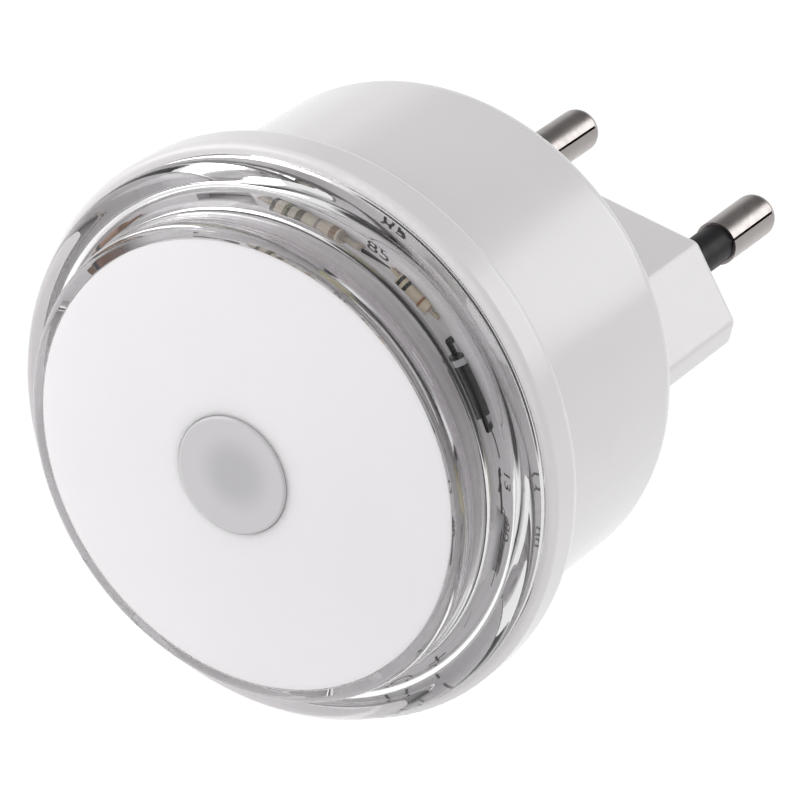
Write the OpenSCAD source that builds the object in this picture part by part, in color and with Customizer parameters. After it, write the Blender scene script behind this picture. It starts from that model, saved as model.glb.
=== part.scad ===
// Plug-in night light with a round stepped front and a two-pin plug block.
// All sizes are in millimetres. The origin is the centre of the plug face, where the block meets the
// socket: the pins run along +Y into the socket, the lamp faces -Y, and +Z is up.
// Each piece is drawn lying on its back, with its height z measured forwards from the plug face.

/* [Housing] */
// Outer diameter of the front flange
flange_d = 50.4; // [48:0.2:54]
// Step from the flange's edge in to the round body
body_step = 2.8; // [2:0.1:3]
// Length of the round body, from its rear face to its front mouth
body_len = 24.6; // [23.6:0.1:30]
// Length of the front flange
flange_len = 4.3; // [3.8:0.1:5.5]
// Wall thickness of the flange round the circuit board
flange_wall = 1.85; // [1.6:0.05:2.4]
// Wall thickness of the body
body_wall = 1.8; // [1.5:0.1:2.2]
// Thickness of the body's rear wall
rear_wall = 2; // [1.6:0.1:3]
// Rounding of the body's rear edge
rear_round = 1.9; // [1:0.1:2.5]
// Rounding of the flange's rear edge
flange_round = 1.5; // [0.8:0.1:2]
// Fillet in the groove behind the flange
groove_fillet = 1; // [0.4:0.1:1.4]

/* [Plug block] */
// Length of the plug block, from the plug face to the body
plug_depth = 19.6; // [17:0.1:24]
// Width of the plug block
plug_w = 35.2; // [34.6:0.1:36]
// Height of the plug block
plug_h = 13.2; // [13:0.1:14.4]
// Width of the block's flat top
plug_flat_w = 24.8; // [23.6:0.1:26]
// Height of the block's narrow side faces
plug_side_h = 2.2; // [1.6:0.1:3.4]
// Wall thickness of the plug block
plug_wall = 1.7; // [1.4:0.1:2]
// Thickness of the block's end wall, which carries the pins
plug_end = 3; // [2.4:0.1:4]
// Rounding of the block's long edges
plug_round = 1; // [0.5:0.1:1.2]

/* [Pins] */
// Diameter of the bare metal end of a pin
pin_d = 4; // [3.8:0.05:4.4]
// Distance between the two pins
pin_spacing = 18.6; // [18:0.1:19.4]
// Length of a pin outside the plug face
pin_len = 19; // [17:0.5:21]
// Length of the insulated part of a pin, from the plug face
sleeve_len = 11; // [9:0.5:12]
// Diameter of the insulating sleeve
sleeve_d = 3.5; // [3.4:0.05:3.9]
// Diameter of the pin's neck inside the sleeve
neck_d = 2.8; // [2.4:0.1:3]
// Rounding of the pin's tip
tip_round = 1.1; // [0.6:0.1:1.6]
// Height of the seats inside the block that the pins' collars rest on
pin_seat_h = 3; // [2:0.5:5]
// Width of the seam along a rolled pin
seam_w = 0.22; // [0.15:0.01:0.3]
// Direction that the seam faces, in degrees from the right-hand side upwards
seam_turn = 37; // [0:1:359]

/* [Cover] */
// Step from the flange's edge in to the clear cover's lower ring
ring_step = 0.9; // [0.4:0.1:1.2]
// Height of the lower ring
ring_h = 2.7; // [2.6:0.1:4]
// Width of the lower ring's front, from its edge in to the raised boss
ring_front_w = 3.5; // [3.2:0.1:4.4]
// Height of the raised boss above the lower ring
boss_h = 3.7; // [3:0.1:4.4]
// Wall thickness of the cover's front
cover_wall = 1.2; // [1:0.1:1.4]
// Wall thickness of the ring's side
ring_wall = 1.8; // [1.4:0.1:2.2]
// Rounding of the ring's front edge
ring_round = 1.3; // [0.8:0.1:1.6]
// Fillet at the foot of the boss
foot_fillet = 0.8; // [0.5:0.1:1.2]
// Width of a snap hook
hook_w = 5; // [4:0.5:5.5]

/* [Disc and window] */
// Width of the boss's rim round the opal disc
rim_w = 1.3; // [1.1:0.05:1.5]
// Thickness of the opal disc at its rim
disc_t = 1.3; // [1:0.1:1.6]
// Height of the disc's middle above its rim
dome_rise = 1.6; // [1:0.1:2.4]
// Diameter of the sensor window
window_d = 10.2; // [9:0.1:12]
// Width of the lip behind the sensor window
window_lip = 0.8; // [0.5:0.1:1]

/* [Circuit board] */
// Thickness of the circuit board
board_t = 1.6; // [1:0.1:1.6]
// Depth of the board's front face below the mouth of the housing
board_drop = 1.3; // [1.2:0.1:1.6]
// Distance of the LEDs from the middle
led_ring_r = 11.5; // [10.5:0.1:12.5]
// Diameter of an LED
led_d = 3; // [2.8:0.1:3.2]
// Diameter of the light sensor
sensor_d = 5.1; // [4.4:0.1:5.4]
// Diameter of the component leads
lead_d = 0.6; // [0.4:0.05:0.7]

/* [Parts behind the board] */
// Length of the film capacitor
film_l = 18; // [15:0.5:19]
// Thickness of the film capacitor
film_w = 8; // [6:0.5:8.5]
// Height of the film capacitor
film_h = 14; // [10:0.5:15]
// Diameter of the smoothing capacitor
can_d = 8; // [6.3:0.1:8.5]
// Height of the smoothing capacitor
can_h = 11.5; // [9:0.5:13]
// Outer diameter of a lead wire
wire_d = 1.7; // [1.4:0.1:2]

/* [Hidden] */
$fn = 96;

// Colours
shell_white = [0.93, 0.92, 0.92];
clear_tint = [0.85, 0.88, 0.9, 0.45];
opal_white = [0.96, 0.95, 0.96];
window_grey = [0.72, 0.71, 0.73];
board_white = [0.82, 0.83, 0.82];
nickel = [0.75, 0.74, 0.72];
sleeve_black = [0.12, 0.11, 0.13];

// Play between pieces
eps = 0.01;
cut_over = 1;     // reach of a cut past the surface that it opens
slip = 0.15;      // sliding play round the board and the hooks
seat = 0.05;      // gap between faces that rest on each other
bore_play = 0.05; // play round a pin in its hole

// Heights of the main planes above the plug face
mouth_z = plug_depth + body_len;
board_front = mouth_z - board_drop;
board_rear = board_front - board_t;
flange_back = mouth_z - flange_len;
ring_front = mouth_z + ring_h;
rim_z = ring_front + boss_h;
disc_seat_z = rim_z - disc_t;
floor_z = plug_depth + rear_wall;

// Small roundings
mouth_round = 0.6;  // the flange's front edge
rim_round = 0.7;    // the boss rim
inner_round = 1;    // corners inside the body and inside the cover's ring

// Radii of the main walls
flange_r = flange_d / 2;
body_r = flange_r - body_step;
cavity_r = body_r - body_wall;
board_bore_r = flange_r - flange_wall;
board_r = board_bore_r - slip;
ring_r = flange_r - ring_step;
boss_r = ring_r - ring_front_w;
disc_r = boss_r - rim_w - seat;
disc_ledge_w = 0.8; // ledge in the boss that the opal disc lies on
boss_bore_r = disc_r + seat - disc_ledge_w;
window_r = window_d / 2;

// Dome of the disc: one sphere through the rim and the raised middle
dome_r = (disc_r * disc_r + dome_rise * dome_rise) / (2 * dome_rise);
dome_centre_z = rim_z + dome_rise - dome_r;
function dome_z(r) = dome_centre_z + sqrt(dome_r * dome_r - r * r);
disc_rear_r = dome_r - disc_t;
window_seat_z = dome_z(0) - disc_t / 2;
window_proud = 0.1; // height of the window's face above the middle of the dome

// Ledge that carries the board's edge; the bore behind it is opened for the soldered leads
ledge_w = 0.9;
ledge_r = board_r - ledge_w;
relief_h = 1;

// Skirt that centres the cover in the mouth of the housing and holds the board down
skirt_r = board_r;
skirt_t = 1;

// Hooks
hook_count = 3;
hook_t = 1.1;
hook_gap = 0.55;   // gap between a hook's stem and the body's wall
hook_outer_r = cavity_r - hook_gap;
hook_drop = 3.2;   // reach of a hook behind the board
hook_root = 0.2;   // depth to which stem and barb are sunk into what carries them
barb_h = 1.3;
barb_out = 0.9;
barb_tip = 0.1;    // thickness of the barb at its lead-in
barb_flat = 0.4;   // height of the barb's outer face
hook_slot_play = 3 * slip; // lets a barb pass the board's slot as it springs inwards
hook_tip_z = board_rear - hook_drop;

// Ribs inside the body, counted in degrees from each hook
rib_angles = [16, 96];
rib_w = 1.4;
rib_t = 1.6;

// Parts on the front of the board: distance from the board's edge, angle round it, turn, lead span
long_resistor_spot = [3.1, 95, -2, 9.2];
short_resistor_spot = [2.8, 65, -24, 5];
rectifier_spot = [3.4, 41, -49, 7.6];
zener_spot = [2.3, 152.5, 62, 5.4];
transistor_spot = [7.6, 205, 8];
axial_spots = [long_resistor_spot, short_resistor_spot, rectifier_spot, zener_spot];
long_case_l = 6.2;
long_case_r = 1;
long_cap_l = 1.4;
long_cap_r = 1.18;
short_case_l = 3.4;
short_case_r = 0.8;
short_cap_l = 0.9;
short_cap_r = 0.95;
rectifier_l = 5.2;
rectifier_r = 1.2;
zener_l = 3.2;
zener_r = 0.9;
axial_clear = 0.1; // gap between an axial part's case and the board
sensor_stand = 3.1;
sensor_t = 2;
transistor_stand = 1.5;
transistor_r = 2.2;
transistor_h = 4;
led_count = 4;
led_lead_y = 1.27;
sensor_lead_x = sensor_d / 4;
transistor_pitch = 1.85;

// Parts behind the board stand clear of the solder
stand_off = 1.1;
joint_h = 0.8;
joint_r = 0.9;
film_y = 7.5;
film_lead_x = film_l / 2 - 1.5;
can_y = -8;
can_lead_x = can_d / 4;
fuse_x = 13.4;
fuse_y = -3;
fuse_r = 1.5;
fuse_pitch = fuse_r + 1.1;

// Pins, collar and retainer
root_r = pin_d / 2 + 0.2; // the pin's root in the wall, thicker than its bare end
collar_d = pin_d + 2;
collar_h = 1.4;
collar_z = plug_end + pin_seat_h + seat;
retainer_z = collar_z + collar_h + seat;
retainer_t = 2.4;
retainer_top = retainer_z + retainer_t;
retainer_w = collar_d + 1;
tail_d = 2.4;
rivet_r = tail_d / 2 + 0.4; // head spread over the lug
rivet_h = 0.5;
lug_z = retainer_top + seat;
lug_t = 0.6;
lug_r = 2.4;
lug_rise = 5;
lug_tongue_w = 2.2;
lug_tongue_x = lug_r + 1; // outer face of the tongue, from the pin's axis
screw_d = 2.2;
screw_x = 3.9;
screw_head_d = 3.8;
screw_head_h = 1.5;
post_d = 4.4;

// Wires run from the lugs to the rear of the board
wire_core_d = 0.9;
wire_pad_y = -12.5;
wire_bend_r = 4;
wire_bare = 1;      // stripped length at each end
wire_run_r = wire_d / 2 - 0.02; // radius of the straight runs, a hair under that of the bends
wire_lap = 0.2;     // length of a run that lies inside a bend
wire_start_x = pin_spacing / 2 + lug_tongue_x - lug_t - wire_d / 2 - seat;
wire_start_z = lug_z + lug_t + 1.4;

// Two upper corners on each side of the plug block's outline, moved inwards by inset
function plug_corners(inset) = [
    for (sx = [1, -1], k = [0, 1])
        let (
            x = k == 0 ? plug_w / 2 : plug_flat_w / 2,
            y = k == 0 ? plug_side_h / 2 : plug_h / 2
        ) [sx * (x - inset * (k == 0 ? 1 : 0.45)), y - inset * (k == 0 ? 0.45 : 1)]
];

// Placing

// Turns a piece drawn on its back so that it faces the room
module facing_room() {
    rotate([90, 0, 0]) children();
}

// Repeats a piece round the axis at each hook
module at_hooks() {
    for (i = [0:hook_count - 1]) rotate(360 / hook_count * i) children();
}

// Puts a piece at one LED's place
module at_led(i) {
    rotate(360 / led_count * i) translate([led_ring_r, 0, 0]) children();
}

// Puts a piece on one pin's axis
module at_pin(side) {
    translate([side * pin_spacing / 2, 0, 0]) children();
}

// Basic forms

// The sliver between a square corner at the origin and its arc of radius r
module corner_sliver(r) {
    difference() {
        translate([-eps, -eps]) square(r + eps);
        translate([r, r]) circle(r);
    }
}

// A band of a revolved profile, from radius r1 to r2 and height z1 to z2
module band(r1, r2, z1, z2) {
    translate([r1, z1]) square([r2 - r1, z2 - z1]);
}

// A ring between two radii
module ring(r_out, r_in, h) {
    difference() {
        cylinder(h = h, r = r_out);
        translate([0, 0, -eps]) cylinder(h = h + 2 * eps, r = r_in);
    }
}

// A cylinder with a rounded rim at its top, drawn as one revolved profile
module rounded_rod(r, h, round) {
    rotate_extrude() difference() {
        square([r, h]);
        translate([r, h]) mirror([1, 0]) mirror([0, 1]) corner_sliver(round);
    }
}

// The plug block's outline, drawn inwards by inset
module plug_outline(inset) {
    top = plug_corners(inset);
    polygon([top[1], top[0], [top[0][0], -top[0][1]], [top[1][0], -top[1][1]],
        [top[3][0], -top[3][1]], [top[2][0], -top[2][1]], top[2], top[3]]);
}

// Housing

module housing_outer() {
    rotate_extrude() {
        difference() {
            union() {
                band(0, body_r, plug_depth, mouth_z);
                band(0, flange_r, flange_back, mouth_z);
            }
            translate([body_r, plug_depth]) mirror([1, 0]) corner_sliver(rear_round);
            translate([flange_r, flange_back]) mirror([1, 0]) corner_sliver(flange_round);
            translate([flange_r, mouth_z]) mirror([1, 0]) mirror([0, 1]) corner_sliver(mouth_round);
        }
        translate([body_r, flange_back]) mirror([0, 1]) corner_sliver(groove_fillet);
    }
}

// The solid plug block, with rounded long edges and a softened end
module plug_block() {
    hull() {
        linear_extrude(plug_round) plug_outline(plug_round);
        for (p = plug_corners(plug_round), sy = [1, -1]) {
            translate([p[0], sy * p[1], plug_round]) sphere(plug_round, $fn = 32);
            translate([p[0], sy * p[1], plug_depth]) cylinder(h = rear_wall, r = plug_round, $fn = 32);
        }
    }
}

module housing_cavity() {
    rotate_extrude() {
        difference() {
            band(0, cavity_r, floor_z, board_rear);
            translate([cavity_r, floor_z]) mirror([1, 0]) corner_sliver(inner_round);
        }
        band(0, ledge_r, board_rear - relief_h, board_rear + eps);
        band(0, board_bore_r, board_rear, mouth_z + eps);
    }
    translate([0, 0, plug_end]) linear_extrude(floor_z - plug_end + eps) plug_outline(plug_wall);
}

// Recess in the body wall that a hook's barb springs into
module hook_recess() {
    depth_r = hook_outer_r + barb_out + slip;
    translate([cavity_r - cut_over, -hook_w / 2 - 2 * slip, hook_tip_z - slip])
        cube([depth_r - cavity_r + cut_over, hook_w + 4 * slip, barb_h + 2 * slip]);
}

// Seat for a pin's collar
module pin_seat() {
    translate([0, 0, plug_end - eps]) cylinder(h = pin_seat_h + eps, r = collar_d / 2);
}

// Post that takes a retainer screw
module screw_post(side) {
    translate([side * screw_x, 0, plug_end - eps])
        ring(post_d / 2, screw_d / 2, retainer_z - seat - plug_end);
}

// Rib along the inside of the body that carries the board
module board_rib() {
    translate([cavity_r - rib_t, -rib_w / 2, floor_z - eps])
        cube([rib_t + body_wall / 3, rib_w, board_rear - floor_z]);
}

module housing() {
    color(shell_white) facing_room() {
        difference() {
            union() {
                difference() {
                    union() {
                        housing_outer();
                        plug_block();
                    }
                    housing_cavity();
                    at_hooks() hook_recess();
                }
                for (side = [1, -1]) {
                    at_pin(side) pin_seat();
                    screw_post(side);
                }
                at_hooks() for (turn = rib_angles) rotate(turn) board_rib();
            }
            for (side = [1, -1]) at_pin(side) translate([0, 0, -eps])
                cylinder(h = plug_end + pin_seat_h + 2 * eps, r = root_r + bore_play);
        }
    }
}

// Clear cover

module cover_outer() {
    rotate_extrude() {
        difference() {
            union() {
                band(boss_bore_r - cut_over, ring_r, mouth_z, ring_front);
                band(boss_bore_r - cut_over, boss_r, mouth_z, rim_z);
            }
            translate([ring_r, ring_front]) mirror([1, 0]) mirror([0, 1]) corner_sliver(ring_round);
            translate([boss_r, rim_z]) mirror([1, 0]) mirror([0, 1]) corner_sliver(rim_round);
        }
        translate([boss_r, ring_front]) corner_sliver(foot_fillet);
    }
}

module cover_inner() {
    ring_bore_r = ring_r - ring_wall;
    inner_front = ring_front - cover_wall;
    rotate_extrude() {
        difference() {
            band(0, ring_bore_r, mouth_z - cut_over, inner_front);
            translate([ring_bore_r, inner_front]) mirror([1, 0]) mirror([0, 1]) corner_sliver(inner_round);
        }
        band(0, boss_bore_r, mouth_z - cut_over, disc_seat_z + eps);
        band(0, disc_r + seat, disc_seat_z - seat, rim_z + cut_over);
    }
}

module cover_skirt() {
    overlap = 0.3;
    translate([0, 0, board_front + seat]) ring(skirt_r, skirt_r - skirt_t, board_drop - seat + overlap);
}

module snap_hook() {
    stem_top = ring_front - cover_wall + hook_root;
    barb_x = hook_root + barb_out;
    translate([hook_outer_r - hook_t, -hook_w / 2, hook_tip_z]) cube([hook_t, hook_w, stem_top - hook_tip_z]);
    translate([hook_outer_r - hook_root, hook_w / 2, hook_tip_z]) rotate([90, 0, 0]) linear_extrude(hook_w)
        polygon([
            [0, 0], [hook_root + barb_tip, 0], [barb_x, barb_h - barb_flat], [barb_x, barb_h], [0, barb_h]
        ]);
}

module clear_cover() {
    color(clear_tint) facing_room() {
        difference() {
            cover_outer();
            cover_inner();
        }
        cover_skirt();
        at_hooks() snap_hook();
    }
}

// Opal disc and sensor window

module dome_slab(r_out, r_in) {
    rotate_extrude() intersection() {
        difference() {
            translate([0, dome_centre_z]) circle(dome_r, $fn = 360);
            translate([0, dome_centre_z]) circle(disc_rear_r, $fn = 360);
        }
        band(r_in, r_out, disc_seat_z - cut_over, rim_z + dome_rise + cut_over);
    }
}

module face_disc() {
    color(opal_white) facing_room() difference() {
        dome_slab(disc_r, window_r - window_lip);
        translate([0, 0, window_seat_z]) cylinder(h = disc_t, r = window_r + seat);
    }
}

module sensor_window() {
    edge_round = 0.25;
    color(window_grey) facing_room() translate([0, 0, window_seat_z + seat])
        rounded_rod(window_r, dome_z(0) + window_proud - window_seat_z - seat, edge_round);
}

// Circuit board and the parts on its front

module circuit_board() {
    color(board_white) facing_room() translate([0, 0, board_rear + seat / 2]) difference() {
        cylinder(h = board_t - seat / 2, r = board_r);
        at_hooks() translate([hook_outer_r - hook_t - hook_slot_play, -hook_w / 2 - 2 * slip, -eps])
            cube([hook_t + barb_out + 2 * hook_slot_play, hook_w + 4 * slip, board_t + 2 * eps]);
    }
}

// An LED with a domed lens over a short flange
module led(i) {
    flange_h = 0.8;
    flange_out = 0.35;
    lens_h = 2.7;
    crown_flat = 0.1; // radius left flat at the lens's crown
    color([0.95, 0.93, 0.8]) facing_room() at_led(i) translate([0, 0, board_front + seat]) {
        cylinder(h = flange_h, r = led_d / 2 + flange_out);
        rounded_rod(led_d / 2, flange_h + lens_h, led_d / 2 - crown_flat);
    }
}

// A light-dependent resistor: a round wafer with two flats, on two leads
module light_sensor() {
    flat_w = sensor_d * 0.84;
    color([0.45, 0.36, 0.3]) facing_room() translate([0, 0, board_front + seat]) {
        translate([0, 0, sensor_stand]) intersection() {
            cylinder(h = sensor_t, r = sensor_d / 2);
            translate([-sensor_d, -flat_w / 2, 0]) cube([2 * sensor_d, flat_w, sensor_t]);
        }
        for (side = [1, -1]) translate([side * sensor_lead_x, 0, 0])
            cylinder(h = sensor_stand + eps, r = lead_d / 2);
    }
}

// Dark tube that keeps the light of the LEDs off the sensor
module sensor_tube() {
    tube_gap = 0.3;
    tube_wall = 1;
    tube_bore_r = window_r - window_lip / 2;
    tube_top = dome_z(window_r) - disc_t - tube_gap;
    color([0.2, 0.2, 0.21]) facing_room() translate([0, 0, board_front + seat])
        ring(tube_bore_r + tube_wall, tube_bore_r, tube_top - board_front - seat);
}

// An axial part lying on the board: a round case, and two leads bent down to the board
module axial(case_l, case_r, span, rise) {
    lead_r = lead_d / 2;
    translate([0, 0, rise]) rotate([0, 90, 0]) {
        translate([0, 0, -span / 2]) cylinder(h = span, r = lead_r);
        translate([0, 0, -case_l / 2]) cylinder(h = case_l, r = case_r);
    }
    for (side = [1, -1]) translate([side * span / 2, 0, 0]) {
        cylinder(h = rise, r = lead_r);
        translate([0, 0, rise]) sphere(lead_r);
    }
}

// A resistor: an axial part with wider end caps
module resistor(case_l, case_r, cap_l, cap_r, span) {
    rise = cap_r + axial_clear;
    axial(case_l, case_r, span, rise);
    for (side = [1, -1]) translate([side * (case_l - cap_l) / 2, 0, rise]) rotate([0, 90, 0])
        cylinder(h = cap_l, r = cap_r, center = true);
}

// Places a part at its spot near the board's edge, at the given height
module at_spot(spot, z) {
    rotate(spot[1]) translate([board_r - spot[0], 0, z]) rotate(spot[2] - spot[1]) children();
}

module on_board(spot) {
    facing_room() at_spot(spot, board_front + seat) children();
}

module resistor_long() {
    color([0.80, 0.74, 0.60]) on_board(long_resistor_spot)
        resistor(long_case_l, long_case_r, long_cap_l, long_cap_r, long_resistor_spot[3]);
}

module resistor_short() {
    color([0.80, 0.76, 0.64]) on_board(short_resistor_spot)
        resistor(short_case_l, short_case_r, short_cap_l, short_cap_r, short_resistor_spot[3]);
}

module rectifier_diode() {
    color([0.1, 0.1, 0.11]) on_board(rectifier_spot)
        axial(rectifier_l, rectifier_r, rectifier_spot[3], rectifier_r + axial_clear);
}

module zener_diode() {
    color([0.45, 0.28, 0.2]) on_board(zener_spot)
        axial(zener_l, zener_r, zener_spot[3], zener_r + axial_clear);
}

// A transistor in a round case with one flat side, standing on three leads
module transistor() {
    color([0.12, 0.12, 0.13]) on_board(transistor_spot) {
        translate([0, 0, transistor_stand]) difference() {
            cylinder(h = transistor_h, r = transistor_r);
            translate([-transistor_r, transistor_r / 2, -eps])
                cube([2 * transistor_r, transistor_r, transistor_h + 2 * eps]);
        }
        for (k = [-1:1]) translate([k * transistor_pitch, 0, 0])
            cylinder(h = transistor_stand + eps, r = lead_d / 2);
    }
}

// Parts behind the board hang from its rear face
module behind_board(x, y) {
    facing_room() translate([x, y, board_rear - seat / 2]) mirror([0, 0, 1]) children();
}

// A resistor that stands on one lead, with the other lead bent back down to the board
module fuse_resistor() {
    case_h = 9;
    case_round = 0.4;
    lead_r = lead_d / 2;
    top_z = stand_off + case_h + 1;
    color([0.35, 0.55, 0.35]) behind_board(fuse_x, fuse_y) {
        translate([0, 0, stand_off]) rounded_rod(fuse_r, case_h, case_round);
        for (y = [0, -fuse_pitch]) translate([0, y, 0]) {
            cylinder(h = top_z, r = lead_r);
            translate([0, 0, top_z]) sphere(lead_r);
        }
        translate([0, 0, top_z]) rotate([90, 0, 0]) cylinder(h = fuse_pitch, r = lead_r);
    }
}

// A box with rounded upright edges
module rounded_box(l, w, h, r) {
    translate([-l / 2 + r, -w / 2, 0]) cube([l - 2 * r, w, h]);
    translate([-l / 2, -w / 2 + r, 0]) cube([l, w - 2 * r, h]);
    for (sx = [1, -1], sy = [1, -1]) translate([sx * (l / 2 - r), sy * (w / 2 - r), 0])
        cylinder(h = h, r = r);
}

module film_capacitor() {
    color([0.75, 0.45, 0.15]) behind_board(0, film_y) {
        translate([0, 0, stand_off]) rounded_box(film_l, film_w, film_h, 1);
        for (side = [1, -1]) translate([side * film_lead_x, 0, 0])
            cylinder(h = stand_off + eps, r = lead_d / 2);
    }
}

// A can with the rolled groove near its base
module smoothing_capacitor() {
    can_r = can_d / 2;
    groove_r = 0.6;
    groove_z = stand_off + 2;
    top_round = 0.5;
    color([0.16, 0.18, 0.24]) behind_board(0, can_y) {
        rotate_extrude() difference() {
            translate([0, stand_off]) square([can_r, can_h]);
            translate([can_r + groove_r / 2, groove_z]) circle(groove_r);
            translate([can_r, stand_off + can_h]) mirror([1, 0]) mirror([0, 1]) corner_sliver(top_round);
        }
        for (side = [1, -1]) translate([side * can_lead_x, 0, 0])
            cylinder(h = stand_off + eps, r = lead_d / 2);
    }
}

// A fillet of solder on a face of the board
module solder_joint() {
    rotate_extrude() difference() {
        square([joint_r, joint_h]);
        translate([joint_r, joint_h]) circle(joint_r * 0.65);
    }
}

// Joints of the leads that come through to the board's rear
module rear_joints() {
    for (spot = axial_spots, side = [1, -1])
        at_spot(spot, 0) translate([side * spot[3] / 2, 0, 0]) solder_joint();
    for (k = [-1:1]) at_spot(transistor_spot, 0) translate([k * transistor_pitch, 0, 0]) solder_joint();
    for (i = [0:led_count - 1], side = [1, -1])
        at_led(i) translate([0, side * led_lead_y, 0]) solder_joint();
    for (side = [1, -1]) translate([side * sensor_lead_x, 0, 0]) solder_joint();
}

// Joints of the leads and wires that come through to the board's front
module front_joints() {
    for (side = [1, -1]) {
        translate([side * film_lead_x, film_y, 0]) solder_joint();
        translate([side * can_lead_x, can_y, 0]) solder_joint();
        translate([side * wire_start_x, wire_pad_y, 0]) solder_joint();
    }
    for (y = [fuse_y, fuse_y - fuse_pitch]) translate([fuse_x, y, 0]) solder_joint();
}

module solder_joints() {
    color([0.7, 0.7, 0.7]) facing_room() {
        translate([0, 0, board_rear - seat / 2]) mirror([0, 0, 1]) rear_joints();
        translate([0, 0, board_front + seat / 2]) front_joints();
    }
}

// Pins

// A rolled pin: bare end with a lengthwise seam, thinner neck, root, collar and tail
module contact_pin(side) {
    bare_len = pin_len - sleeve_len;
    neck_r = neck_d / 2;
    color(nickel) facing_room() at_pin(side) {
        difference() {
            translate([0, 0, -sleeve_len]) mirror([0, 0, 1]) rounded_rod(pin_d / 2, bare_len, tip_round);
            rotate(seam_turn) translate([0, -seam_w / 2, -pin_len + tip_round])
                cube([pin_d, seam_w, bare_len - tip_round + cut_over]);
        }
        translate([0, 0, -sleeve_len - eps]) cylinder(h = sleeve_len + 2 * eps, r = neck_r);
        cylinder(h = collar_z + eps, r = root_r);
        translate([0, 0, collar_z]) cylinder(h = collar_h, r = collar_d / 2);
        translate([0, 0, collar_z]) cylinder(h = lug_z + lug_t + 2 * seat - collar_z, r = tail_d / 2);
        translate([0, 0, lug_z + lug_t + seat]) cylinder(h = rivet_h, r = rivet_r);
    }
}

module pin_sleeve(side) {
    color(sleeve_black) facing_room() at_pin(side) translate([0, 0, -sleeve_len + seat])
        ring(sleeve_d / 2, neck_d / 2 + bore_play, sleeve_len - seat - bore_play);
}

// Bar that presses the pins' collars into their seats
module pin_retainer() {
    hole_r = tail_d / 2 + slip;
    color([0.88, 0.87, 0.86]) facing_room() translate([0, 0, retainer_z]) difference() {
        union() {
            translate([-pin_spacing / 2, -retainer_w / 2, 0]) cube([pin_spacing, retainer_w, retainer_t]);
            for (side = [1, -1]) at_pin(side) cylinder(h = retainer_t, r = retainer_w / 2);
        }
        for (side = [1, -1]) {
            at_pin(side) translate([0, 0, -eps]) cylinder(h = retainer_t + 2 * eps, r = hole_r);
            translate([side * screw_x, 0, -eps]) cylinder(h = retainer_t + 2 * eps, r = screw_d / 2 + slip);
        }
    }
}

module retainer_screw() {
    head_round = 0.5;
    cross_l = 2.4;
    cross_w = 0.5;
    cross_depth = 0.7;
    shank_z = plug_end + 2 * slip;
    translate([0, 0, retainer_top + seat]) difference() {
        rounded_rod(screw_head_d / 2, screw_head_h, head_round);
        for (turn = [0, 90]) rotate(turn) translate([-cross_l / 2, -cross_w / 2, screw_head_h - cross_depth])
            cube([cross_l, cross_w, cut_over]);
    }
    translate([0, 0, shank_z]) cylinder(h = retainer_top + seat + eps - shank_z, r = screw_d / 2 - bore_play);
}

module retainer_screws() {
    color([0.6, 0.6, 0.62]) facing_room()
        for (side = [1, -1]) translate([side * screw_x, 0, 0]) retainer_screw();
}

// Solder lug: a ring on the pin's tail with a tongue bent up towards the board
module lug(side) {
    tongue_root = lug_r - 0.4;
    color([0.78, 0.76, 0.7]) facing_room()
        at_pin(side) translate([0, 0, lug_z]) mirror([side < 0 ? 1 : 0, 0, 0]) {
            ring(lug_r, tail_d / 2 + bore_play, lug_t);
            translate([tongue_root, -lug_tongue_w / 2, 0])
                cube([lug_tongue_x - tongue_root, lug_tongue_w, lug_t]);
            translate([lug_tongue_x - lug_t, -lug_tongue_w / 2, 0]) cube([lug_t, lug_tongue_w, lug_rise]);
        }
}

// Lead wire from a lug to the board: straight runs and two equal bends
module wire(side) {
    core_r = wire_core_d / 2;
    core_x = side * (wire_run_r - core_r - seat);
    rise = board_rear - seat - wire_start_z;
    reach = abs(wire_pad_y);
    // the bends turn by one angle so that the wire ends over its pad
    bend = reach > 2 * wire_bend_r ? 60 : acos(1 - reach / (2 * wire_bend_r));
    bend_y = wire_bend_r * (1 - cos(bend));
    bend_z = wire_bend_r * sin(bend);
    slope_l = (reach - 2 * bend_y) / sin(bend);
    run_l = (rise - 2 * bend_z - slope_l * cos(bend)) / 2;
    color(side > 0 ? [0.75, 0.2, 0.15] : [0.15, 0.2, 0.55]) facing_room()
        translate([side * wire_start_x, 0, wire_start_z]) {
            cylinder(h = run_l + wire_lap, r = wire_run_r);
            translate([0, 0, run_l]) wire_arc(bend);
            translate([0, -bend_y, run_l + bend_z]) rotate([bend, 0, 0]) translate([0, 0, -wire_lap])
                cylinder(h = slope_l + 2 * wire_lap, r = wire_run_r);
            translate([0, -reach, rise - run_l]) rotate([180, 0, 0]) wire_arc(bend);
            translate([0, -reach, rise - run_l - wire_lap])
                cylinder(h = run_l - wire_bare + wire_lap, r = wire_run_r);
            translate([0, -reach, rise - wire_bare - eps]) cylinder(h = wire_bare, r = core_r);
            // the stripped end lies against the lug's tongue
            translate([core_x, 0, -wire_bare]) cylinder(h = wire_bare + eps, r = core_r);
        }
}

// A bend that starts along +z and leans towards -y by the given angle
module wire_arc(angle) {
    translate([0, -wire_bend_r, 0]) rotate([90, 0, 90])
        rotate_extrude(angle = angle) translate([wire_bend_r, 0]) circle(wire_d / 2, $fn = 24);
}

housing();
clear_cover();
face_disc();
sensor_window();
circuit_board();
light_sensor();
sensor_tube();
led(0);  // led_1
led(1);  // led_2
led(2);  // led_3
led(3);  // led_4
resistor_long();
resistor_short();
rectifier_diode();
zener_diode();
transistor();
fuse_resistor();
film_capacitor();
smoothing_capacitor();
solder_joints();
contact_pin(-1);  // pin_left
contact_pin(1);  // pin_right
pin_sleeve(-1);  // pin_sleeve_left
pin_sleeve(1);  // pin_sleeve_right
pin_retainer();
retainer_screws();
lug(-1);  // lug_left
lug(1);  // lug_right
wire(-1);  // wire_left
wire(1);  // wire_right
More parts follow.
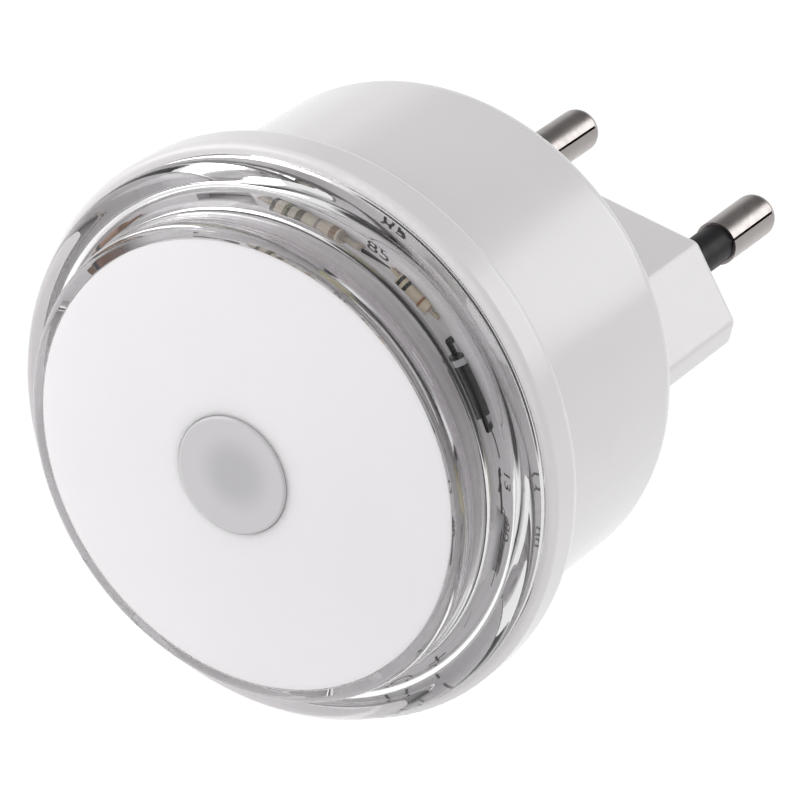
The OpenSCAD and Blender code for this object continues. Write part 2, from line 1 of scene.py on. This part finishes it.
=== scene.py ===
import bpy
import bmesh
from math import sin, cos, radians, pi
from mathutils import Vector, Matrix


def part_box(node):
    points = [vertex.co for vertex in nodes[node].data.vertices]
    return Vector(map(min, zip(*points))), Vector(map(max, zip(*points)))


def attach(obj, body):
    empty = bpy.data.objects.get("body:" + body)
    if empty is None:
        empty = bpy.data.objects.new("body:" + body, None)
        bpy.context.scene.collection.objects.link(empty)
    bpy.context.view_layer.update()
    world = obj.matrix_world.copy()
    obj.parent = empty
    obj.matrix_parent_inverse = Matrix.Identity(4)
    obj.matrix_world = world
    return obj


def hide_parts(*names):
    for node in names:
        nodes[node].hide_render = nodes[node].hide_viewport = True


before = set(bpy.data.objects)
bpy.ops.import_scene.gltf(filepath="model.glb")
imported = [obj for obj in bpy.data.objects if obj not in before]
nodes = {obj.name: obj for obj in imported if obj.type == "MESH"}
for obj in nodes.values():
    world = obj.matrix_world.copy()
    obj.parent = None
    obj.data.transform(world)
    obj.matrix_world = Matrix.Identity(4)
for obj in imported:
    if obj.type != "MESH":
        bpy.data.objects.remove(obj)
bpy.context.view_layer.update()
scene = bpy.context.scene
mm = 0.001


def addObject(name, data):
    obj = bpy.data.objects.new(name, data)
    scene.collection.objects.link(obj)
    return obj


def toWorld(p):
    # A point drawn on its back (z forwards from the plug face, in mm) to the room frame in metres
    return Vector((p[0] * mm, -p[2] * mm, p[1] * mm))


def meshFrom(name, verts, faces, sharpAngle=35, weld=1e-7):
    # A smooth mesh with crisp edges past the sharp angle, in degrees
    mesh = bpy.data.meshes.new(name)
    mesh.from_pydata([toWorld(v) for v in verts], [], faces)
    bm = bmesh.new()
    bm.from_mesh(mesh)
    bmesh.ops.remove_doubles(bm, verts=bm.verts, dist=weld)
    bmesh.ops.recalc_face_normals(bm, faces=bm.faces)
    for face in bm.faces:
        face.smooth = True
    bm.to_mesh(mesh)
    bm.free()
    mesh.set_sharp_from_angle(angle=radians(sharpAngle))
    return addObject(name, mesh)


def arc(centre, radius, start, stop, steps):
    # Points of a round stretch in a plane, turned from start to stop in degrees
    turns = [radians(start + (stop - start) * i / steps) for i in range(steps + 1)]
    return [(centre[0] + radius * cos(a), centre[1] + radius * sin(a)) for a in turns]


def revolve(profile, steps):
    # Verts and faces of a closed profile (radius, height) turned round the axis
    turns = [2 * pi * k / steps for k in range(steps)]
    verts = [(r * cos(a), r * sin(a), z) for a in turns for r, z in profile]
    count = len(profile)
    faces = []
    for k in range(steps):
        here, there = k * count, (k + 1) % steps * count
        for i in range(count):
            j = (i + 1) % count
            faces.append((here + i, here + j, there + j, there + i))
    return verts, faces


def newMaterial(name, **inputs):
    # The inputs are the shader's own sockets, such as Base_Color
    mat = bpy.data.materials.new(name)
    mat.use_nodes = True
    shader = mat.node_tree.nodes["Principled BSDF"]
    for key, value in inputs.items():
        socket = shader.inputs[key.replace("_", " ")]
        socket.default_value = (*value, 1) if socket.type == "RGBA" else value
    return mat, mat.node_tree, shader


def addNode(tree, kind, inputs=None, **settings):
    # An input is a value, or a socket to link from
    node = tree.nodes.new("ShaderNode" + kind)
    for key, value in settings.items():
        setattr(node, key, value)
    for key, value in (inputs or {}).items():
        if isinstance(value, bpy.types.NodeSocket):
            tree.links.new(value, node.inputs[key])
        else:
            node.inputs[key].default_value = value
    return node


def objectCoords(tree):
    return addNode(tree, "TexCoord").outputs["Object"]


def noise(tree, coords, scale, detail):
    return addNode(tree, "TexNoise", {"Vector": coords, "Scale": scale, "Detail": detail}).outputs["Fac"]


def ramp(tree, factor, stops):
    # Each stop is a place from 0 to 1 with a level or a colour
    node = addNode(tree, "ValToRGB", {"Fac": factor})
    elements = node.color_ramp.elements
    while len(elements) < len(stops):
        elements.new(0.5)
    for element, (place, colour) in zip(elements, stops):
        element.position = place
        element.color = (*colour, 1) if isinstance(colour, tuple) else (colour, colour, colour, 1)
    return node.outputs["Color"]


def bump(tree, shader, height, strength, distance):
    node = addNode(tree, "Bump", {"Height": height, "Strength": strength, "Distance": distance})
    tree.links.new(node.outputs["Normal"], shader.inputs["Normal"])


def dress(obj, mat):
    obj.data.materials.clear()
    obj.data.materials.append(mat)


# What all the plain finishes share: noise scales and details, the stretch of the noise that is used,
# the gloss as a share of the roughness, and the ripple's depth in metres
grain = {
    "stretch": (0.3, 0.7), "toneScale": 60, "toneDetail": 3,
    "glossScale": 900, "glossDetail": 4, "gloss": (0.85, 1.2),
    "rippleScale": 120, "rippleDetail": 2, "rippleStrength": 0.25, "rippleDepth": 0.00001,
}


def makeFinish(name, low, high, roughness, **more):
    # Plastic, paint or metal: faint drift of tone, slightly uneven gloss and a soft waviness
    mat, tree, shader = newMaterial(name, Roughness=roughness, **more)
    coords = objectCoords(tree)
    start, stop = grain["stretch"]
    drift = noise(tree, coords, grain["toneScale"], grain["toneDetail"])
    tree.links.new(ramp(tree, drift, [(start, low), (stop, high)]), shader.inputs["Base Color"])
    fine = noise(tree, coords, grain["glossScale"], grain["glossDetail"])
    smooth, rough = [roughness * share for share in grain["gloss"]]
    tree.links.new(ramp(tree, fine, [(start, smooth), (stop, rough)]), shader.inputs["Roughness"])
    ripple = noise(tree, coords, grain["rippleScale"], grain["rippleDetail"])
    bump(tree, shader, ripple, grain["rippleStrength"], grain["rippleDepth"])
    return mat


shellWhite = makeFinish("shell_white", (0.82, 0.80, 0.81), (0.85, 0.83, 0.84), 0.16, IOR=1.5)
opalWhite = makeFinish("opal_plastic", (0.87, 0.845, 0.87), (0.89, 0.865, 0.89), 0.42, IOR=1.49,
                       Subsurface_Weight=1.0, Subsurface_Radius=(1.0, 1.0, 1.0), Subsurface_Scale=0.0015)
windowGrey = makeFinish("window_grey", (0.60, 0.585, 0.60), (0.63, 0.615, 0.63), 0.22)
silkInk = makeFinish("silk_ink", (0.02, 0.02, 0.022), (0.05, 0.05, 0.052), 0.5)
boardWhite = makeFinish("board_white", (0.76, 0.75, 0.76), (0.82, 0.81, 0.82), 0.3)
sensorCeramic = makeFinish("sensor_ceramic", (0.40, 0.30, 0.24), (0.46, 0.35, 0.28), 0.5)
tubeBlack = makeFinish("tube_black", (0.03, 0.03, 0.03), (0.05, 0.05, 0.05), 0.4)
ledLens = makeFinish("led_lens", (0.86, 0.83, 0.55), (0.90, 0.87, 0.62), 0.15)
componentBlack = makeFinish("component_black", (0.010, 0.010, 0.011), (0.020, 0.020, 0.021), 0.4,
                            Specular_IOR_Level=0.25)
zenerBrown = makeFinish("zener_brown", (0.20, 0.10, 0.06), (0.34, 0.19, 0.11), 0.1)
resistorGreen = makeFinish("resistor_green", (0.13, 0.32, 0.16), (0.17, 0.38, 0.2), 0.5)
filmOrange = makeFinish("film_orange", (0.55, 0.24, 0.05), (0.64, 0.30, 0.07), 0.25)
canSleeve = makeFinish("can_sleeve", (0.02, 0.03, 0.06), (0.04, 0.05, 0.09), 0.25)
sleeveBlack = makeFinish("sleeve_black", (0.010, 0.009, 0.011), (0.018, 0.016, 0.019), 0.42,
                         Specular_IOR_Level=0.2)
retainerWhite = makeFinish("retainer_white", (0.76, 0.75, 0.74), (0.80, 0.79, 0.78), 0.4)
wireBlue = makeFinish("wire_blue", (0.02, 0.05, 0.26), (0.04, 0.07, 0.32), 0.35)
wireRed = makeFinish("wire_red", (0.36, 0.03, 0.02), (0.42, 0.04, 0.03), 0.35)
solder = makeFinish("solder", (0.6, 0.6, 0.62), (0.7, 0.7, 0.72), 0.25, Metallic=1.0)
screwSteel = makeFinish("screw_steel", (0.48, 0.48, 0.5), (0.54, 0.54, 0.56), 0.3, Metallic=1.0)
lugBrass = makeFinish("lug_brass", (0.66, 0.62, 0.48), (0.72, 0.68, 0.54), 0.3, Metallic=1.0)
nickel = makeFinish("nickel", (0.35, 0.325, 0.315), (0.42, 0.39, 0.375), 0.3, Metallic=1.0)
longBeige = makeFinish("resistor_long_beige", (0.42, 0.38, 0.31), (0.52, 0.47, 0.39), 0.25)
shortBeige = makeFinish("resistor_short_beige", (0.44, 0.38, 0.28), (0.54, 0.47, 0.36), 0.25)


def paintOver(mat, factor, colour):
    # Lays a colour over the material's own colour where the factor is 1
    tree = mat.node_tree
    socket = tree.nodes["Principled BSDF"].inputs["Base Color"]
    mix = addNode(tree, "MixRGB", {0: factor, 1: socket.links[0].from_socket, 2: (*colour, 1)})
    tree.links.new(mix.outputs[0], socket)


# Axial parts on the board: middle (x, z) in mm and turn in degrees; a band is its place along the axis
# from the middle, its width, both in mm, and its colour
longBands = {
    "middle": (-1.75, 20.02), "turn": -2,
    "bands": [(-2.95, 0.45, (0.06, 0.05, 0.04)), (-1.75, 0.45, (0.14, 0.13, 0.08)),
              (-0.6, 0.6, (0.09, 0.08, 0.05)), (1.0, 0.25, (0.24, 0.20, 0.20)),
              (2.6, 0.6, (0.22, 0.15, 0.10))],
}
shortBands = {
    "middle": (8.62, 18.49), "turn": -24,
    "bands": [(-1.4, 0.32, (0.03, 0.03, 0.03)), (-0.75, 0.32, (0.03, 0.03, 0.03)),
              (0.9, 0.25, (0.25, 0.12, 0.05))],
}
cathodeBand = {"middle": (14.94, 12.99), "turn": -49, "bands": [(-2.1, 0.55, (0.45, 0.45, 0.46))]}
zenerBand = {"middle": (-18.54, 9.65), "turn": 62, "bands": [(-1.2, 0.5, (0.015, 0.012, 0.012))]}


def addBands(mat, middle, turn, bands):
    tree = mat.node_tree
    axis = (cos(radians(turn)), 0, sin(radians(turn)))
    dot = addNode(tree, "VectorMath", {0: objectCoords(tree), 1: axis}, operation="DOT_PRODUCT")
    start = (middle[0] * axis[0] + middle[1] * axis[2]) * mm
    for place, width, colour in bands:
        reach = {0: dot.outputs["Value"], 1: start + place * mm, 2: width / 2 * mm}
        inside = addNode(tree, "Math", reach, operation="COMPARE")
        paintOver(mat, inside.outputs[0], colour)


addBands(longBeige, **longBands)
addBands(shortBeige, **shortBands)
addBands(componentBlack, **cathodeBand)
addBands(zenerBrown, **zenerBand)

# The sensor shows through the window as a soft darker middle; places (x, z) and radii in mm
windowShade = {"middle": (0.3, 0.3), "core": 1.2, "reach": 4.0, "colour": (0.50, 0.49, 0.505)}


def shadeWindow(mat, s):
    tree = mat.node_tree
    flat = addNode(tree, "VectorMath", {0: objectCoords(tree), 1: (1, 0, 1)}, operation="MULTIPLY")
    middle = (s["middle"][0] * mm, 0, s["middle"][1] * mm)
    away = addNode(tree, "VectorMath", {0: flat.outputs[0], 1: middle}, operation="DISTANCE")
    fade = {"Value": away.outputs["Value"], "From Min": s["core"] * mm, "From Max": s["reach"] * mm,
            "To Min": 1.0, "To Max": 0.0}
    near = addNode(tree, "MapRange", fade, interpolation_type="SMOOTHSTEP")
    paintOver(mat, near.outputs[0], s["colour"])


shadeWindow(windowGrey, windowShade)

# Clear plastic; through tints the light that goes straight to what lies behind, ripple depth is in metres
clear = {
    "colour": (0.99, 0.985, 0.99), "ior": 1.49, "through": (0.93, 0.925, 0.93, 1),
    "rippleScale": 160, "rippleDetail": 2, "rippleStrength": 0.2, "rippleDepth": 0.00001,
}


def clearPlastic(name, roughness, transmission):
    mat, tree, shader = newMaterial(name, Base_Color=clear["colour"], Roughness=roughness,
                                    IOR=clear["ior"], Transmission_Weight=transmission)
    ripple = noise(tree, objectCoords(tree), clear["rippleScale"], clear["rippleDetail"])
    bump(tree, shader, ripple, clear["rippleStrength"], clear["rippleDepth"])
    # Light for matt surfaces goes straight through, more of it than in real plastic, so the board is lit
    path = addNode(tree, "LightPath")
    straight = {0: path.outputs["Is Diffuse Ray"], 1: path.outputs["Is Shadow Ray"]}
    matt = addNode(tree, "Math", straight, operation="MAXIMUM")
    through = addNode(tree, "BsdfTransparent", {"Color": clear["through"]})
    mix = addNode(tree, "MixShader", {0: matt.outputs[0], 1: shader.outputs[0], 2: through.outputs[0]})
    tree.links.new(mix.outputs[0], tree.nodes["Material Output"].inputs["Surface"])
    return mat


clearCover = clearPlastic("clear_plastic", 0.01, 1.0)
frostedHook = clearPlastic("clear_plastic_frosted", 0.4, 0.45)

finishes = {
    "housing": shellWhite, "clear_cover": clearCover, "face_disc": opalWhite, "sensor_window": windowGrey,
    "circuit_board": boardWhite, "light_sensor": sensorCeramic, "sensor_tube": tubeBlack,
    "led_1": ledLens, "led_2": ledLens, "led_3": ledLens, "led_4": ledLens,
    "resistor_long": longBeige, "resistor_short": shortBeige, "rectifier_diode": componentBlack,
    "zener_diode": zenerBrown, "transistor": componentBlack, "fuse_resistor": resistorGreen,
    "film_capacitor": filmOrange, "smoothing_capacitor": canSleeve, "solder_joints": solder,
    "pin_left": nickel, "pin_right": nickel, "pin_sleeve_left": sleeveBlack, "pin_sleeve_right": sleeveBlack,
    "pin_retainer": retainerWhite, "retainer_screws": screwSteel, "lug_left": lugBrass, "lug_right": lugBrass,
    "wire_left": wireBlue, "wire_right": wireRed,
}
for name, mat in finishes.items():
    dress(nodes[name], mat)
print("materials done")


# The clear cover: radii and heights over the plug face, in mm. Its outside is the solid's, turned finely so
# that light bends cleanly. Its boss wall is thinner than the solid's, and its foot stands a hair off the
# flange, because glass that lies on a face renders with black lines
cover = {
    "ring": 24.3, "foot": 44.22, "front": 46.9, "edge": 1.3, "fillet": 0.8,
    "boss": 20.8, "rim": 50.6, "rimEdge": 0.7, "pocket": 19.5, "ledge": 49.25, "bore": 18.7, "shelf": 48.6,
    "wall": 19.55, "inner": 45.7, "innerEdge": 1.0, "hollow": 22.5,
    "skirt": (22.2, 23.2), "skirtEnd": 42.95, "skirtTop": 44.5, "soft": 0.08,
    "turnSteps": 288, "edgeSteps": 14, "roundSteps": 12, "softSteps": 4,
}


def makeCover(c):
    s, few, many = c["soft"], c["softSteps"], c["roundSteps"]
    profile = [(c["ring"], c["foot"])]
    profile += arc((c["ring"] - c["edge"], c["front"] - c["edge"]), c["edge"], 0, 90, c["edgeSteps"])
    profile += arc((c["boss"] + c["fillet"], c["front"] + c["fillet"]), c["fillet"], 270, 180, many)
    profile += arc((c["boss"] - c["rimEdge"], c["rim"] - c["rimEdge"]), c["rimEdge"], 0, 90, many)
    profile += arc((c["pocket"] + s, c["rim"] - s), s, 90, 180, few)
    profile += [(c["pocket"], c["ledge"])]
    profile += arc((c["bore"] + s, c["ledge"] - s), s, 90, 180, few)
    profile += [(c["bore"], c["shelf"]), (c["wall"], c["shelf"]), (c["wall"], c["inner"])]
    profile += arc((c["hollow"] - c["innerEdge"], c["inner"] - c["innerEdge"]), c["innerEdge"], 90, 0, many)
    profile += [(c["hollow"], c["skirtTop"]), (c["skirt"][0], c["skirtTop"])]
    profile += arc((c["skirt"][0] + s, c["skirtEnd"] + s), s, 180, 270, few)
    profile += arc((c["skirt"][1] - s, c["skirtEnd"] + s), s, 270, 360, few)
    profile += [(c["skirt"][1], c["foot"])]
    piece = meshFrom("cover_clear", *revolve(profile, c["turnSteps"]))
    dress(piece, clearCover)
    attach(piece, "root")
    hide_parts("clear_cover")


# The cover's snap hooks, frosted because clear ones show as a black stub through the boss wall. Radii and
# heights in mm: slope and catch stand over the tip, lead is the tip's step out from the stem, and the gap
# keeps the hooks off the cover
hooks = {"stem": (18.95, 20.05), "tip": 38.1, "barb": 20.95, "slope": 0.9, "catch": 1.3, "lead": 0.1,
         "gap": 0.02, "width": 5.0, "turns": (0, 120, 240)}


def makeHooks(h):
    low, high = h["stem"]
    tip, top = h["tip"], cover["inner"] - h["gap"]
    outline = [(low, tip), (high + h["lead"], tip), (h["barb"], tip + h["slope"]),
               (h["barb"], tip + h["catch"]), (high, tip + h["catch"]), (high, top), (low, top)]
    count = len(outline)
    verts, faces = [], []
    for turn in h["turns"]:
        near = range(len(verts), len(verts) + count)
        a = radians(turn)
        for side in (-1, 1):
            w = side * h["width"] / 2
            verts += [(r * cos(a) - w * sin(a), r * sin(a) + w * cos(a), z) for r, z in outline]
        faces += [tuple(near), tuple(i + count for i in reversed(near))]
        for i, j in zip(near, [*near[1:], near[0]]):
            faces.append((i, j, count + j, count + i))
    piece = meshFrom("cover_hooks", verts, faces)
    dress(piece, frostedHook)
    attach(piece, "root")


makeCover(cover)
makeHooks(hooks)
print("cover done")


# Print on the board, as places (x, z) in mm: plain digits with a turn and a height, and lines with a width,
# among them a ring and a plus. The lift keeps the ink off the board
marks = {
    "lift": 0.03, "fontSize": 1.4,
    "digits": [("85", (4.5, 20.75), -6, 1.8), ("13", (20.5, 6.05), -78, 1.45), ("80", (21.3, 1.5), -82, 1.4)],
    "lines": [
        (0.14, arc((0, 0), 22.05, 71, 99, 14)),
        (0.40, [(2.6, 19.0), (5.6, 18.8), (8.05, 18.5)]),
        (0.34, [(16.76, 9.46), (17.3, 9.3), (17.8, 8.95), (18.3, 8.3), (18.75, 7.48)]),
        (0.40, [(18.72, 6.5), (18.78, 6.1), (19.0, 5.8)]),
        (0.34, [(19.0, 5.1), (19.08, 4.8), (19.1, 4.3)]),
        (0.20, [(18.6, 6.2), (19.5, 3.47), (20.2, 0.4), (20.45, -0.97), (20.56, -2.6), (20.54, -4.22)]),
        (0.16, [(19.6, 3.2), (20.26, 3.1), (21.0, -0.9), (21.09, -1.8), (21.06, -3.13)]),
        (0.16, [(17.99, -7.42), (18.38, -9.13)]),
        (0.26, arc((14.6, -17.0), 1.2, 0, 360, 24)),
        (0.30, [(16.65, -14.35), (17.85, -12.27)]),
        (0.30, [(16.21, -12.71), (18.29, -13.91)]),
    ],
}


def stroke(points, width):
    # A flat ribbon of the given width along the points
    verts = []
    for i, (x, z) in enumerate(points):
        before, after = points[max(i - 1, 0)], points[min(i + 1, len(points) - 1)]
        step = Vector((after[0] - before[0], after[1] - before[1])).normalized() * width / 2
        verts += [(x - step.y, z + step.x), (x + step.y, z - step.x)]
    return verts, [(2 * i, 2 * i + 1, 2 * i + 3, 2 * i + 2) for i in range(len(points) - 1)]


def digitShape(text, centre, turn, height):
    # Plain figures as flat outlines, centred by their bounding box
    curve = bpy.data.curves.new("digits", "FONT")
    curve.body, curve.size = text, height * marks["fontSize"]
    holder = addObject("digits", curve)
    mesh = bpy.data.meshes.new_from_object(holder.evaluated_get(bpy.context.evaluated_depsgraph_get()))
    a = radians(turn)
    flat = [Vector(v.co[:2]) for v in mesh.vertices]
    middle = Vector([(min(v[k] for v in flat) + max(v[k] for v in flat)) / 2 for k in (0, 1)])
    flat = [v - middle for v in flat]
    verts = [(centre[0] + v.x * cos(a) - v.y * sin(a), centre[1] + v.x * sin(a) + v.y * cos(a)) for v in flat]
    faces = [tuple(f.vertices) for f in mesh.polygons]
    bpy.data.objects.remove(holder)
    bpy.data.curves.remove(curve)
    bpy.data.meshes.remove(mesh)
    return verts, faces


def makeMarks(m):
    front = -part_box("circuit_board")[0][1] / mm + m["lift"]
    shapes = [digitShape(*item) for item in m["digits"]]
    shapes += [stroke(points, width) for width, points in m["lines"]]
    verts, faces = [], []
    for flatVerts, flatFaces in shapes:
        start = len(verts)
        verts += [(x, z, front) for x, z in flatVerts]
        faces += [tuple(start + i for i in face) for face in flatFaces]
    piece = meshFrom("board_marks", verts, faces)
    dress(piece, silkInk)
    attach(piece, "root")


makeMarks(marks)
print("marks done")


# The camera as fitted to the photograph: turn, height and roll in degrees, distance in metres from the
# middle of the cover's rim, which lies at the rim pixel. Focal length and picture are in pixels
view = {
    "turn": 27.386, "height": 33.386, "roll": 11.8, "distance": 0.434903,
    "rimPixel": (242.76, 467.9), "focal": 5448.7, "picture": 800, "sensor": 36, "clip": (0.01, 20),
}


def aimCamera(v):
    turn, height, roll = radians(v["turn"]), radians(v["height"]), radians(v["roll"])
    back = Vector((sin(turn) * cos(height), -cos(turn) * cos(height), sin(height)))
    level = Vector((cos(turn), sin(turn), 0))
    rise = back.cross(level)
    right = cos(roll) * level + sin(roll) * rise
    up = -sin(roll) * level + cos(roll) * rise
    target = Vector((0, -cover["rim"], 0)) * mm
    data = bpy.data.cameras.new("camera")
    data.sensor_width = v["sensor"]
    data.lens = v["focal"] / v["picture"] * v["sensor"]
    data.clip_start, data.clip_end = v["clip"]
    camera = addObject("camera", data)
    across = (v["picture"] / 2 - v["rimPixel"][0]) / v["focal"]
    above = (v["rimPixel"][1] - v["picture"] / 2) / v["focal"]
    axis = (-back + right * across + up * above).normalized()
    zAxis = -axis
    xAxis = up.cross(zAxis).normalized()
    yAxis = zAxis.cross(xAxis)
    turned = Matrix((xAxis, yAxis, zAxis)).transposed().to_4x4()
    camera.matrix_world = Matrix.Translation(target + back * v["distance"]) @ turned
    scene.camera = camera


aimCamera(view)
print("camera done")

# White paper under the object, with its edges, height and grain depth in metres
paper = {
    "reach": 6.0, "front": -0.35, "height": -0.45, "colour": (0.9, 0.9, 0.9), "roughness": 0.9,
    "specular": 0.1, "grainScale": 300, "grainDetail": 4, "grainStrength": 0.1, "grainDepth": 0.0005,
    "lift": 0.36,
}


def makeFloor(p):
    mesh = bpy.data.meshes.new("floor")
    reach, front, z = p["reach"], p["front"], p["height"]
    corners = [(-reach, front, z), (reach, front, z), (reach, reach, z), (-reach, reach, z)]
    mesh.from_pydata(corners, [], [(0, 1, 2, 3)])
    floor = addObject("floor", mesh)
    mat, tree, shader = newMaterial("floor_paper", Base_Color=p["colour"], Roughness=p["roughness"],
                                    Specular_IOR_Level=p["specular"])
    fine = noise(tree, objectCoords(tree), p["grainScale"], p["grainDetail"])
    bump(tree, shader, fine, p["grainStrength"], p["grainDepth"])
    # The paper is lifted to white for the camera, in gloss and through clear plastic, and keeps the shadow
    path = addNode(tree, "LightPath")
    direct = {0: path.outputs["Is Camera Ray"], 1: path.outputs["Is Glossy Ray"]}
    seen = addNode(tree, "Math", direct, operation="MAXIMUM")
    through = {0: seen.outputs[0], 1: path.outputs["Is Transmission Ray"]}
    seen = addNode(tree, "Math", through, operation="MAXIMUM")
    lift = addNode(tree, "Math", {0: seen.outputs[0], 1: p["lift"]}, operation="MULTIPLY")
    glow = addNode(tree, "Emission", {"Color": (1, 1, 1, 1), "Strength": lift.outputs[0]})
    both = addNode(tree, "AddShader", {0: shader.outputs[0], 1: glow.outputs[0]})
    tree.links.new(both.outputs[0], tree.nodes["Material Output"].inputs["Surface"])
    dress(floor, mat)


# The tent round the object. Matt surfaces get the even light, as levels from below to overhead. Gloss and
# clear plastic show pale walls with two round dark gaps, one in front and one behind and above: each is a
# direction, and levels for how nearly a ray points that way
tent = {
    "even": [(0.0, 0.78), (0.5, 0.78), (1.0, 0.60)],
    "gaps": [((0.384, -0.741, 0.55), [(0.0, 0.82), (0.70, 0.82), (0.76, 0.06), (1.0, 0.04)]),
             ((-0.28, 0.74, 0.61), [(0.0, 1.0), (0.86, 1.0), (0.95, 0.26), (1.0, 0.26)])],
}


def makeWorld(t):
    world = bpy.data.worlds.new("studio")
    scene.world = world
    world.use_nodes = True
    tree = world.node_tree
    tree.nodes.clear()
    path = addNode(tree, "LightPath")
    coords = addNode(tree, "TexCoord").outputs["Generated"]
    ray = addNode(tree, "SeparateXYZ", {0: coords})
    height = addNode(tree, "MapRange", {"Value": ray.outputs["Z"], "From Min": -1.0, "From Max": 1.0})
    even = ramp(tree, height.outputs[0], t["even"])
    shown = None
    for gap, levels in t["gaps"]:
        toGap = addNode(tree, "VectorMath", {0: coords, 1: gap}, operation="DOT_PRODUCT")
        walls = ramp(tree, toGap.outputs["Value"], levels)
        if shown is not None:
            walls = addNode(tree, "MixRGB", {0: 1.0, 1: shown, 2: walls}, blend_type="MULTIPLY").outputs[0]
        shown = walls
    clearOrGlossy = {0: path.outputs["Is Glossy Ray"], 1: path.outputs["Is Transmission Ray"]}
    sharp = addNode(tree, "Math", clearOrGlossy, operation="MAXIMUM")
    # Light that a matt surface gathers, also through the clear plastic, comes from the even tent
    unlessMatt = {0: sharp.outputs[0], 1: path.outputs["Diffuse Depth"]}
    sharp = addNode(tree, "Math", unlessMatt, operation="SUBTRACT", use_clamp=True)
    room = addNode(tree, "MixRGB", {0: sharp.outputs[0], 1: even, 2: shown})
    lit = addNode(tree, "Background", {"Color": room.outputs[0], "Strength": 1.0})
    white = addNode(tree, "Background", {"Color": (1, 1, 1, 1), "Strength": 1.0})
    byCamera = {0: path.outputs["Is Camera Ray"], 1: lit.outputs[0], 2: white.outputs[0]}
    mix = addNode(tree, "MixShader", byCamera)
    out = addNode(tree, "OutputWorld")
    tree.links.new(mix.outputs[0], out.inputs["Surface"])


# Soft boxes: direction from the object's middle, distance and size in metres, power in watts
objectMiddle = (0, -0.03, 0)
softBoxes = {
    "box_rear_right": {"direction": (0.39, 0.83, 0.39), "distance": 1.2, "size": 0.52, "power": 2.0},
    "box_front_left": {"direction": (-0.77, -0.60, 0.22), "distance": 1.3, "size": 0.9, "power": 7.0},
}


def softBox(name, direction, distance, size, power):
    light = bpy.data.lights.new(name, "AREA")
    light.shape = "SQUARE"
    light.size = size
    light.energy = power
    box = addObject(name, light)
    towards = Vector(direction).normalized()
    box.location = Vector(objectMiddle) + towards * distance
    box.rotation_euler = towards.to_track_quat("Z", "Y").to_euler()


makeFloor(paper)
makeWorld(tent)
for name, box in softBoxes.items():
    softBox(name, **box)
print("stage done")

scene.view_settings.view_transform = "Standard"
